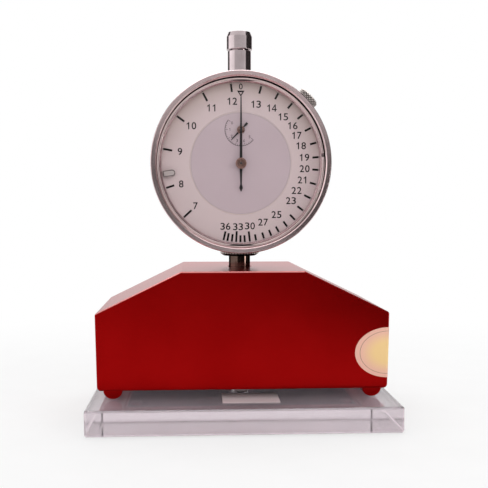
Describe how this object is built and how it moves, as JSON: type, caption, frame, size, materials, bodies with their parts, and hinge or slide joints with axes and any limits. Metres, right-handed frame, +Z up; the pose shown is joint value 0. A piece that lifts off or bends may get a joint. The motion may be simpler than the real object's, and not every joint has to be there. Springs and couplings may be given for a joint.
{
  "type": "screen mesh tension meter",
  "caption": "Dial gauge on a sloped housing with ridge feet and a sprung feeler bar that reads the tension of a stretched mesh, standing on its clear setting plate.",
  "frame": {"origin": "middle of the setting plate's underside", "axes": "+Z up along the gauge's stem, +Y away from the dial's reader, +X to the reader's right"},
  "size_m": [0.1, 0.078, 0.1294],
  "materials": {
    "clear_plate": "polished clear plate, faintly grey",
    "label_paper": "bare white label",
    "red_anodised": "red anodised, fine satin",
    "dark_cover": "blackened",
    "seal_paper": "bare pale gold seal",
    "bright_steel": "polished steel",
    "satin_chrome": "satin chrome plate",
    "spring_steel": "drawn spring wire",
    "brass": "brushed brass",
    "crystal": "clear",
    "marker_clear": "clear plastic",
    "dial_white": "matt warm white dial",
    "dial_grey": "matt pale grey dial",
    "hand_black": "satin black",
    "hub_bronze": "bronzed hub"
  },
  "bodies": {
    "plate": {"setting_plate": "clear_plate", "plate_label": "label_paper"},
    "meter": {"housing": "red_anodised", "bottom_cover": "dark_cover", "cover_screw_1": "bright_steel", "cover_screw_2": "bright_steel", "cover_screw_3": "bright_steel", "cover_screw_4": "bright_steel", "oval_seal": "seal_paper", "guide_bush": "brass", "measuring_spring": "spring_steel", "stem_set_screw": "dark_cover", "lower_stem": "bright_steel", "upper_sleeve": "satin_chrome", "sleeve_cap": "satin_chrome", "gauge_case": "satin_chrome", "back_cover": "satin_chrome", "back_screw_1": "bright_steel", "back_screw_2": "bright_steel", "back_screw_3": "bright_steel", "back_screw_4": "bright_steel", "inner_dial": "dial_grey", "movement_plate": "brass", "movement_screw_1": "bright_steel", "movement_screw_2": "bright_steel", "movement_screw_3": "bright_steel", "rear_bridge": "brass", "bridge_pillar_1": "brass", "bridge_pillar_2": "brass", "bridge_screw_1": "bright_steel", "bridge_screw_2": "bright_steel"},
    "feeler": {"feeler_bar": "bright_steel", "bar_screw": "satin_chrome", "plunger": "bright_steel", "contact_tip": "bright_steel", "spindle": "bright_steel"},
    "counter": {"counter_arbor": "bright_steel", "counter_wheel": "brass", "rack_pinion": "bright_steel", "counter_hand": "hand_black", "counter_hub": "hub_bronze"},
    "pointer": {"centre_arbor": "bright_steel", "centre_pinion": "bright_steel", "main_hand": "hand_black", "main_hub": "hub_bronze"},
    "take_up": {"take_up_arbor": "bright_steel", "take_up_wheel": "brass", "hairspring": "spring_steel"},
    "bezel_ring": {"bezel": "satin_chrome", "crystal": "crystal", "crystal_retainer": "bright_steel", "outer_dial": "dial_white"},
    "marker": {"limit_marker": "marker_clear"},
    "bezel_lock": {"bezel_lock_screw": "satin_chrome"},
    "stem_nut": {"lock_nut": "satin_chrome"}
  },
  "joints": [
    {"name": "meter_lift", "type": "slide", "parent": "plate", "child": "meter", "axis": [0, 0, 1], "range_m": [0, 0.002]},
    {"name": "feeler_slide", "type": "slide", "parent": "meter", "child": "feeler", "axis": [0, 0, 1], "range_m": [-0.002, 0], "deforming": ["measuring_spring"]},
    {"name": "pointer_turn", "type": "hinge", "parent": "meter", "child": "pointer", "pos_m": [0, 0, 0.0851], "axis": [0, -1, 0], "range_deg": [0, 720]},
    {"name": "counter_turn", "type": "hinge", "parent": "meter", "child": "counter", "pos_m": [0, 0, 0.09616], "axis": [0, -1, 0], "range_deg": [-72, 0]},
    {"name": "take_up_turn", "type": "hinge", "parent": "meter", "child": "take_up", "pos_m": [0, 0, 0.07404], "axis": [0, -1, 0], "range_deg": [-72, 0]},
    {"name": "bezel_turn", "type": "hinge", "parent": "meter", "child": "bezel_ring", "pos_m": [0, 0, 0.0851], "axis": [0, -1, 0], "continuous": true},
    {"name": "marker_turn", "type": "hinge", "parent": "bezel_ring", "child": "marker", "pos_m": [0, 0, 0.0851], "axis": [0, -1, 0], "continuous": true},
    {"name": "lock_screw_turn", "type": "hinge", "parent": "meter", "child": "bezel_lock", "pos_m": [0, 0.0013, 0.0851], "axis": [0.7193, 0, 0.6947], "range_deg": [0, 360]},
    {"name": "lock_nut_turn", "type": "hinge", "parent": "meter", "child": "stem_nut", "pos_m": [0, 0, 0.0553], "axis": [0, 0, 1], "range_deg": [0, 360]}
  ],
  "couplings": [
    {"joint": "feeler_slide", "follows": "meter_lift", "ratio": -1},
    {"joint": "pointer_turn", "follows": "meter_lift", "rad_per_m": 6283.2},
    {"joint": "counter_turn", "follows": "meter_lift", "rad_per_m": -628.32},
    {"joint": "take_up_turn", "follows": "meter_lift", "rad_per_m": -628.32}
  ]
}
